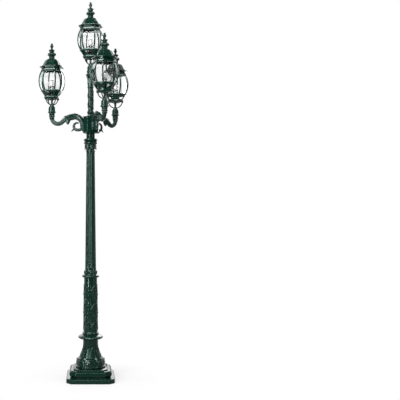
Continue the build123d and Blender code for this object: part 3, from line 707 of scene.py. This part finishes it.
class Bar:
    """The cast bar of an arm: its path down from the collar, and its thickness along it."""

    def __init__(self):
        elbow = polar((266, -39), 50, 0, -133.5, 26)
        crest = polar((133, -179.4), 143.4, 46.6, 90, 16)[1:]
        inner = polar((133, -102), 66, 90, 180, 18)[1:]
        line = [(ARM_REACH, -20)] + elbow + crest + inner + [(67, -115), (67, -130), (66, -146)]
        self.path = [(x, 0, z) for x, z in line]
        along = np.cumsum([0] + [math.dist(a, b) for a, b in zip(self.path, self.path[1:])])
        self.along = along / along[-1]
        self.thick = np.interp(self.along, [0, 0.30, 0.48, 0.60, 0.75, 0.92, 1],
                               [16, 16.5, 19, 21, 20, 17.5, 13])

    def at(self, share):
        """The middle of the bar at a share of its length, 0 to 1."""
        return np.array([np.interp(share, self.along, column) for column in zip(*self.path)])

    def body(self):
        profile = []
        for a in np.arange(64) * 2 * math.pi / 64:
            r = 0.90 + 0.13 * abs(math.cos(4 * a)) ** 0.7
            profile.append((r * math.cos(a), r * math.sin(a)))
        return swept(self.path, profile, self.thick)

    def clinging_leaf(self, start, end, turn, half_angle, lift=5.6, lobes=4):
        """A leaf round the bar from one share of its length to another, turned about it."""
        rows, columns = 21, 9
        grid = np.zeros((rows, columns, 3))
        for i, v in enumerate(np.linspace(0, 1, rows)):
            share = start + (end - start) * v
            middle = self.at(share)
            step = self.at(share - 0.01) - middle
            step /= np.linalg.norm(step)
            up = np.array((-step[2], 0, step[0])) * (1 if step[0] > 0 else -1)
            tip = max(0, (v - 0.7) / 0.3) ** 2
            for j, u in enumerate(np.linspace(-1, 1, columns)):
                a = turn + u * half_angle * leaf_half(v, lobes)
                rise = leaf_rise(u, v, lobes) * lift * min(1, 0.4 + 3 * v) + lift * 1.3 * tip
                out = np.interp(share, self.along, self.thick) - 1.5
                out += 0 if abs(u) == 1 and v < 0.7 else rise + 1.0
                grid[i, j] = middle + (math.cos(a) * up + math.sin(a) * np.array((0, 1, 0))) * out
        return hidden_back(grid)


# start and end along the bar, turn about it and half angle, of the leaves on the crest
CREST_LEAVES = [(0.66, 0.43, 0, 0.75), (0.64, 0.45, 1.35, 0.6), (0.64, 0.45, -1.35, 0.6),
                (0.63, 0.40, math.pi, 0.55), (0.84, 0.62, 0, 0.6), (0.82, 0.62, 1.3, 0.55),
                (0.82, 0.62, -1.3, 0.55)]
NECK = [(13, -56), (17, -54), (19, -50), (19, -46), (21, -44), (22.5, -41), (21, -38), (19.5, -36),
        (20, -33), (23, -30), (24, -27), (22.5, -23), (20, -21), (20.5, -17), (23.5, -14), (24.5, -10),
        (23, -7), (21, -5), (23, -2.5), (24, -0.5), (20, 0), (13.5, 0), (13.5, 29), (12.5, 30)]


def arm_neck():
    """The turned end under the lantern, with its spigot."""
    drops = ring(leaf(lambda z: 20.5, -22, -4, 7, 2.6, 2, 3.4, columns=7, rows=9), 8)
    return moved(joined(lathe(NECK, 64, gadroons(12, 3.0, -36, -19)), drops), ARM_REACH)


def crest_cuff():
    """The cuff round the crest's foot, with a free tip above and one below."""
    outline = rounded([(214, -26), (194, -32), (170, -22), (158, -50), (166, -78), (180, -97),
                       (190, -99), (196, -87), (202, -66), (202, -44)], 6, closed=True)
    middle = outline.mean(axis=0)
    sheets = []
    for side, share in ((-12, 0.62), (-9, 0.84), (-4, 0.97), (4, 0.97), (9, 0.84), (12, 0.62)):
        sheets.append([(x, side, z) for x, z in middle + (outline - middle) * share])
    return loft(sheets)


def arm_scroll():
    """The scroll under the crest and its tail leaf."""
    steps = 44
    share = np.linspace(0, 1, steps)
    radii = np.interp(share, [0, 0.2, 0.6, 1], [41, 31.5, 30, 23.5])
    path = [(106 + r * math.cos(a), 0, -110 + r * math.sin(a))
            for r, a in zip(radii, np.radians(np.linspace(207, 478, steps)))]
    size = np.interp(share, [0, 0.15, 0.55, 0.85, 0.94, 1], [9.5, 9, 8, 5.6, 4.6, 2.0])
    band = [((1 - 0.10 * math.cos(6 * a)) * math.cos(a), 1.35 * math.sin(a))
            for a in np.arange(32) * 2 * math.pi / 32]
    tail = tube([(134, 0, -131), (141, 0, -139), (149, 0, -146), (159, 0, -151.5)], [7, 7, 4.6, 1.2])
    return joined(swept(path, band, size), tail)


def arm_foot():
    """The plate that is bolted to the hub, and the thick bars that join the arm to it."""
    plate = moved(box((-58.5, 58.5), (-32, 32), (38, 46), 1.5), z=HUB_DROP, tilt=90)
    upright = tube([(50, 0, -60), (50, 0, -150)], [12, 12], 12)
    return joined(plate, upright, tube([(48, 0, -146), (66, 0, -142)], [13, 12], 12))


def arm():
    """One arm along +X; heights count from the collar's foot."""
    bar = Bar()
    leaves = [bar.clinging_leaf(*place) for place in CREST_LEAVES]
    return joined(bar.body(), arm_neck(), *leaves, crest_cuff(), arm_scroll(), arm_foot())


def hexagon_bolt():
    """A bolt in an arm's plate: washer and head, along +X."""
    head = tiers([(5.9, 0), (6.5, 0.7), (6.5, 3.6), (5.6, 4.4)], hexagon, 0.2)
    washer = lathe([(0, -0.2), (8, -0.2), (8, 0.8), (0, 0.8)], 24, soft=0.3)
    return moved(joined(washer, moved(head, z=0.7)), tilt=90)


def arm_bolts():
    """Four bolts in the plate of each arm, with heights from the hub's middle."""
    return joined(*(moved(moved(hexagon_bolt(), 46, y, z), turn=turn)
                    for turn in ARM_TURNS.values() for y in (-23, 23) for z in (-46, 46)))


# ================================================================ a lantern
def collar():
    """The turned socket on the spigot, with its set screw."""
    line = [(15.6, 60), (16.5, 63), (17.5, 62), (18, 58), (20, 52), (24, 47), (27.5, 43), (27.5, 13),
            (28.5, 11), (32.5, 9), (32.5, 2), (30.5, 0)]
    body = lathe([(0, 0)] + line[::-1] + [(0, 60)], 48)
    screw = moved(lathe([(0, 0), (3.6, 0), (3.6, 2.2), (0, 2.4)], 12, soft=0.5), 27, 0, 26, tilt=90)
    return joined(body, screw)


def cradle():
    """Stem and four curved struts that end in small curls."""
    stem = lathe([(0, 61), (14, 61), (14, 66), (9.5, 70), (8.5, 76), (8.5, 96), (13, 101), (15, 108),
                  (0, 108)], 32)
    line = [(15, 65), (26, 68), (37, 75), (46, 85), (52, 95), (55, 104)]
    curve = rounded(line, 8)
    strut = tube([(x, 0, z) for x, z in curve], 4.2, 10)
    curl = moved(ball((0, 0, 0), (5.2, 4.6, 5.2), 6, 10), 55, 0, 104)
    return joined(stem, ring(joined(strut, curl), 4, 45))


def gallery():
    """A dish and two bands, with four windows between posts on the narrow sides, and four ears."""
    dish = tiers([(30, 106), (48, 108), (60, 113), (66.8, 118.6), (64.6, 126), (60, 127), (57, 124),
                  (44, 112), (30, 110)], octagon, looped=True)
    lower = tiers([(60, 126), (62, 133), (59, 134), (56.5, 126)], octagon, soft=0.5, looped=True)
    upper = tiers([(80.5, 160), (83, 166), (79.5, 166), (77, 160)], octagon, soft=0.4, looped=True)
    ends = ((62, 132.5, 18), (81, 160.5, 28))  # corner radius, height and half width of the window
    wide, far = math.radians(CORNER), math.radians(90 - CORNER)
    posts = []
    for turn in (0, 90, 180, 270):
        for sign in (1, -1):
            jamb = []
            for r, z, half in ends:
                face, edge = r * math.cos(wide), r * math.sin(wide)
                jamb.append([(face, sign * half, z), (face, sign * edge, z),
                             (face - 3, sign * (edge - 1), z), (face - 3, sign * half, z)])
            posts.append(moved(loft(jamb), turn=turn))
        narrow = [[((r - wall) * math.cos(a), (r - wall) * math.sin(a), z)
                   for wall, a in ((0, wide), (0, far), (3.4, far), (3.4, wide))]
                  for r, z, half in ends]
        posts.append(moved(loft(narrow), turn=turn))
    ear = [(51, 104), (58, 102.5), (65, 108), (66, 116), (63, 123), (58, 120), (52, 112)]
    sides = rounded(ear, 3, closed=True)
    ears = ring(loft([[(x, y, z) for x, z in sides] for y in (-6, 6)]), 4, 45)
    return joined(dish, lower, upper, *posts, ears)


def frame_ribs():
    """Lower ring, eight bent ribs on the corners and upper ring."""
    lower = tiers([(83, 166), (92, 167.4), (89.6, 175.6), (86, 178), (76, 178), (76, 166)], octagon,
                  looped=True)
    upper = tiers([(84, 328), (89, 329), (91, 331), (87.2, 344), (80, 352), (68, 352), (68, 328)],
                  octagon, looped=True)
    bend = [(86, 176), (97, 196), (104.5, 222), (107.5, 246), (107.5, 262), (104, 288), (96, 312),
            (86, 330)]
    curve = rounded(bend, 18, steps=3)
    section = rounded([(-6, -5.2), (1.2, -5.2), (3, 0), (1.2, 5.2), (-6, 5.2)], 1.2, closed=True, steps=2)
    outlines = []
    for k, (r, z) in enumerate(curve):
        before, after = curve[max(k - 1, 0)], curve[min(k + 1, len(curve) - 1)]
        step = (after - before) / np.linalg.norm(after - before)
        outlines.append([(r + out * step[1], side, z - out * step[0]) for out, side in section])
    return joined(lower, upper, at_corners(loft(outlines)))


def reflector():
    """The plate on the frame, with the threaded stud and the two nuts that hold it."""
    plate = tiers([(0.1, 351.9), (70, 351.9), (73, 352.2), (73, 354), (0.1, 354)], octagon, soft=0.4)
    nut = tiers([(8.4, 0), (9, 0.7), (9, 4.3), (8.4, 5)], hexagon, 0.2)
    thread = [(0, 346)]
    for z in np.arange(347, 446, 1.6):
        thread += [(5.0, z), (4.3, z + 0.8)]
    stud = lathe(thread + [(0, 447)], 16, soft=0)
    return joined(plate, moved(nut, z=354), moved(nut, z=346.5), stud)


# from the skirt over the rim, brim, dome and neck, and back down the inside
ROOF = [(80, 352.4), (80, 360.3), (100, 360.3), (102.6, 361), (101.3, 365.4), (99, 366.4),
        (95, 366.9), (91, 367.6), (84, 370.4),
        (75, 376), (69.5, 383), (65.5, 391), (61, 399), (57.5, 407), (53, 413.5), (46.5, 419.5),
        (38, 424), (29, 427.5), (21.5, 430.3), (8, 430.3), (8, 427), (19, 424.5), (34, 419),
        (42, 414), (49, 407), (54, 398), (61, 384), (68, 372), (75, 367), (76, 362), (76, 352.4)]


def roof():
    """The shell, with a thin hip on each corner from the brim to the neck."""
    shell = tiers(ROOF, lambda r: octagon(r, min(1.8, r * 0.2)), soft=0.8, looped=True)
    outside = ROOF[6:19]
    hip = tube([(r + 0.2, 0, z + 0.2) for r, z in outside], [0.9] * 2 + [1.6] * 9 + [1.2] * 2, 8)
    return joined(shell, at_corners(hip))


FINIAL = [(0, 0), (17, 0), (23, 1), (23, 3), (22, 4), (21, 17), (23, 20), (24.5, 22), (30, 26),
          (33.5, 31), (34, 35), (32.5, 39), (27, 45), (20, 51), (16.5, 55.5), (16.5, 58), (19, 62),
          (23.5, 68), (25, 70.5), (23, 71.5), (14, 69.5), (9.5, 71), (7.5, 76), (6.8, 84), (8, 92),
          (12, 98), (16, 101), (16, 103), (10, 104.5), (8.2, 106), (9.4, 110), (9, 117), (6, 123),
          (0, 126)]
FINIAL_SEAT = 430.6  # height of the finial's foot on the roof


def finial():
    """The turned finial: a fluted foot, a bulb, a crown of leaves, a calyx and an acorn."""
    body = lathe(FINIAL, 80, gadroons(10, 4.4, 23, 50))
    flutes = ring(tube([(21.6, 0, 5), (21.2, 0, 16)], 1.7, 6), 16)
    crown = ring(leaf(lambda z: 14 + (z - 52) * 0.5, 53, 70.5, 7.6, 2.6, 2, 1.6, columns=7, rows=13), 7)
    inner = ring(leaf(lambda z: 7.4, 71, 90, 4.0, 1.4, 2, 1.8, columns=7, rows=11), 5, 30)
    calyx = ring(leaf(lambda z: 11 + (z - 98) * 0.1, 92, 103.5, 4.6, 1.6, 1, 3.4, columns=5, rows=9), 8)
    acorn = ring(leaf(lambda z: 8.6, 106, 115, 3.4, 1.2, 1, 1.2, columns=5, rows=7), 6)
    return moved(joined(body, flutes, crown, inner, calyx, acorn), z=FINIAL_SEAT)


def lampholder():
    return lathe([(0, 112.2), (24, 112.2), (24, 115), (19, 117), (19, 119), (18, 120), (18, 122),
                  (19, 123), (19, 172), (18, 173), (18, 175), (19, 176), (19, 184), (18, 186),
                  (14.6, 186), (14.2, 178), (14.2, 158), (0, 157)], 40, soft=0.6)


BULB_RISE = 36  # the bulb's parts are drawn with the cap's tip at 122 and raised by this


def bulb_cap():
    """The metal screw cap: its tip, six turns of thread and a rim."""
    line = [(0, 122), (4.5, 122), (5, 124), (8, 126), (11, 127)]
    for z in 128.5 + 3.0 * np.arange(6):
        line += [(12.9, z), (12.9, z + 0.8), (11.9, z + 1.6), (11.9, z + 2.2)]
    return lathe(line + [(12.6, 147), (12.6, 149), (0, 149)], 32, soft=0.4)


def bulb_shape():
    """The glass envelope, hollow with a thin wall."""
    outer = [(11.5, 149.3), (12.2, 153), (14, 160), (18, 168), (23.5, 176)]
    outer += [(30 * math.cos(a), 197 + 30 * math.sin(a)) for a in np.radians(np.linspace(-32, 84, 14))]
    inner = [(max(r - 0.9, 0.4), z - 0.5 if z > 197 else z) for r, z in outer[::-1]]
    return lathe(outer + [(0, 227), (0, 226)] + inner, 40, soft=0.8)


def bulb_stem():
    return lathe([(0, 149.2), (7.5, 149.2), (5, 156), (3, 164), (2.6, 178), (3.4, 182), (0, 183)], 16)


def filament():
    """The supply and support wires, and the coil that they hold."""
    wires = [tube([(side * 2, 0, 176), (side * 9, 0, 192), (side * 11, 0, 200)], 0.45, 6)
             for side in (-1, 1)]
    for x in (-8, -4, 0, 4, 8):
        wires.append(tube([(0, 0, 182), (x * 0.5, 0, 190), (x, 0, 199.5)], 0.25, 5))
    coil = []
    for t in np.linspace(0, 1, 120):
        a = 2 * math.pi * 20 * t
        sag = 1.4 * math.sin(math.pi * t)
        coil.append((-11 + 22 * t, 0.9 * math.cos(a), 200.5 + sag + 0.9 * math.sin(a)))
    return joined(*wires, tube(coil, 0.3, 4))


# ================================================================ everything in its place
def post_piece(name, shape, height=None, turn=0.0):
    """A piece of the post, drawn from its node's foot or else from the given height."""
    height = foot(name) if height is None else height
    piece(name + "_look", moved(shape, z=height, turn=turn), green, "root", (name,))


for section in (base_plinth, base_bell, base_ring, lower_shaft, shaft_ring, fluted_shaft, capital,
                neck_tube, hub, upper_post):
    post_piece(section.__name__, section())

one_arm = arm()
for side, turn in ARM_TURNS.items():
    post_piece(side + "_arm", one_arm, foot(side + "_collar"), turn)
post_piece("arm_bolts", arm_bolts(), foot("hub") + HUB_MIDDLE)

# name, shape, paint and moving body of each part of a lantern
LANTERN = [("collar", collar(), green, "root"), ("cradle", cradle(), green, "root"),
           ("gallery", gallery(), green, "root"), ("frame", frame_ribs(), green, "root"),
           ("reflector", reflector(), green, "root"), ("roof", roof(), green, "roof"),
           ("finial", finial(), green, "finial"), ("lampholder", lampholder(), black, "root"),
           ("bulb_cap", moved(bulb_cap(), z=BULB_RISE), brass, "bulb"),
           ("bulb", moved(bulb_shape(), z=BULB_RISE), bulb_glass, "bulb"),
           ("bulb_stem", moved(bulb_stem(), z=BULB_RISE), bulb_glass, "bulb"),
           ("filament", moved(filament(), z=BULB_RISE), wire_metal, "bulb")]
LOOKS_ONLY = ("bulb_stem", "filament")  # they replace no node of the frame
for side in LANTERNS:
    low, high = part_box(side + "_collar")
    turn = math.radians(ARM_TURNS.get(side, ARM_TURNS["left"]))
    place = (Matrix.Translation(((low.x + high.x) / 2, (low.y + high.y) / 2, low.z))
             @ Matrix.Rotation(turn, 4, "Z"))
    for part, shape, paint, body in LANTERN:
        nodes = () if part in LOOKS_ONLY else (f"{side}_{part}",)
        carrier = body if body == "root" else f"{side}_{body}"
        piece(f"{side}_{part}_look", shape, paint, carrier, nodes, place)

# nodes of the frame that show themselves, in their own paints
KEPT_NODES = {"panes": pane_glass, "core_tube": steel, "terminal_block": pale}
for name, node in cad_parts.items():
    for ending, paint in KEPT_NODES.items():
        if name.endswith(ending):
            node.data.materials.clear()
            node.data.materials.append(paint)


# ================================================================ floor, world, light and camera
def floor_material():
    """Pale matt ground with the shadow; white further out, dark in mirrors but for its far part."""
    made, maker, matt = material("floor", {
        "Roughness": 0.7, "Specular IOR Level": 0.1, "Base Color": (0.8, 0.8, 0.8, 1)})
    place, ray = maker.place(), maker.node("ShaderNodeLightPath")
    seen = (ray.output("Is Camera Ray") + ray.output("Is Transmission Ray")).clamped()
    mirrored = ray.output("Is Glossy Ray") * (1 - seen)
    distance = maker.node("ShaderNodeVectorMath", {"operation": "LENGTH"}, {0: place}).output("Value")
    away = maker.node("ShaderNodeSeparateXYZ", {}, {0: place}).output("Y")
    fade = ((distance - 0.2) * 1.1 + 0.55).clamped() * seen
    far_back = ((away - 0.25) * 1.5).clamped() * mirrored
    white = maker.node("ShaderNodeEmission", {}, {"Color": (1, 1, 1, 1), "Strength": 1.0})
    dark = maker.node("ShaderNodeBsdfDiffuse", {}, {"Color": (0.25, 0.25, 0.25, 1)})
    ground = maker.node("ShaderNodeMixShader", {}, {0: mirrored, 1: matt, 2: dark})
    glow = (fade + far_back * 0.5).clamped()
    return finish_material(made, maker.node("ShaderNodeMixShader", {}, {0: glow, 1: ground, 2: white}))


floor = new_object("floor", [(-30, -30, 0), (30, -30, 0), (30, 30, 0), (-30, 30, 0)], [(0, 1, 2, 3)])
floor.data.materials.append(floor_material())

world = bpy.data.worlds.new("studio")
bpy.context.scene.world = world
world.use_nodes = True
world.node_tree.nodes.clear()
sky = Maker(world.node_tree)
ray = sky.node("ShaderNodeLightPath")
way = sky.node("ShaderNodeSeparateXYZ", {}, {0: sky.node("ShaderNodeTexCoord")})
upward, away = way.output("Z"), way.output("Y")
seen = (ray.output("Is Camera Ray") + ray.output("Is Transmission Ray")).clamped()
mirrored = ray.output("Is Glossy Ray")
behind = ((away - 0.15) * 2.0).clamped()
under_top = ((0.75 - upward) * 3.0).clamped()
over_floor = ((upward - 0.10) * 12.0).clamped()
backdrop = behind * under_top * (over_floor * 1.6 + 0.4) + 0.03  # what glossy pieces mirror
ambient = mirrored * backdrop + (1 - mirrored) * 0.15
light = sky.node("ShaderNodeBackground", {}, {
    "Color": (1, 1, 1, 1), "Strength": seen + (1 - seen) * ambient})
out = world.node_tree.nodes.new("ShaderNodeOutputWorld")
world.node_tree.links.new(light.socket, out.inputs["Surface"])


def area_light(name, azimuth, distance, height, width, tall, power, aim):
    """A soft box round the post, azimuth from the camera's side in degrees, aimed at a height."""
    data = bpy.data.lights.new(name, "AREA")
    data.shape, data.size, data.size_y, data.energy = "RECTANGLE", width, tall, power
    made = bpy.data.objects.new(name, data)
    bpy.context.scene.collection.objects.link(made)
    a = math.radians(azimuth)
    made.location = (math.sin(a) * distance, -math.cos(a) * distance, height)
    towards = Vector((0, 0, aim)) - made.location
    made.rotation_euler = towards.to_track_quat("-Z", "Y").to_euler()


# name, azimuth, distance, height, width, tall, power in watts and the height aimed at
area_light("strip_left", -41, 4.2, 1.95, 0.24, 3.8, 110, 1.95)
area_light("strip_right", 58, 4.2, 2.0, 0.60, 3.4, 22, 2.0)
area_light("front_bar", -14, 2.6, 5.0, 4.6, 1.0, 205, 2.3)
area_light("left_bar", -92, 2.6, 5.0, 1.4, 1.0, 35, 2.3)
area_light("right_bar", 88, 2.6, 5.0, 1.6, 1.0, 35, 2.3)
area_light("front_soft", -27, 5.0, 2.5, 2.4, 2.8, 75, 2.1)
area_light("back_rim", 165, 4.0, 2.6, 1.2, 2.4, 30, 1.8)

EYE = (0.0, -5.6, 1.404)
PITCH = -0.021  # radians over the horizon
lens = bpy.data.cameras.new("camera")
lens.lens, lens.sensor_width = 63.2, 36
lens.shift_x, lens.shift_y = 0.2735, 0.045
camera = bpy.data.objects.new("camera", lens)
bpy.context.scene.collection.objects.link(camera)
camera.matrix_world = Matrix.Translation(EYE) @ Matrix.Rotation(math.pi / 2 + PITCH, 4, "X")
bpy.context.scene.camera = camera
bpy.context.scene.view_settings.view_transform = "Standard"
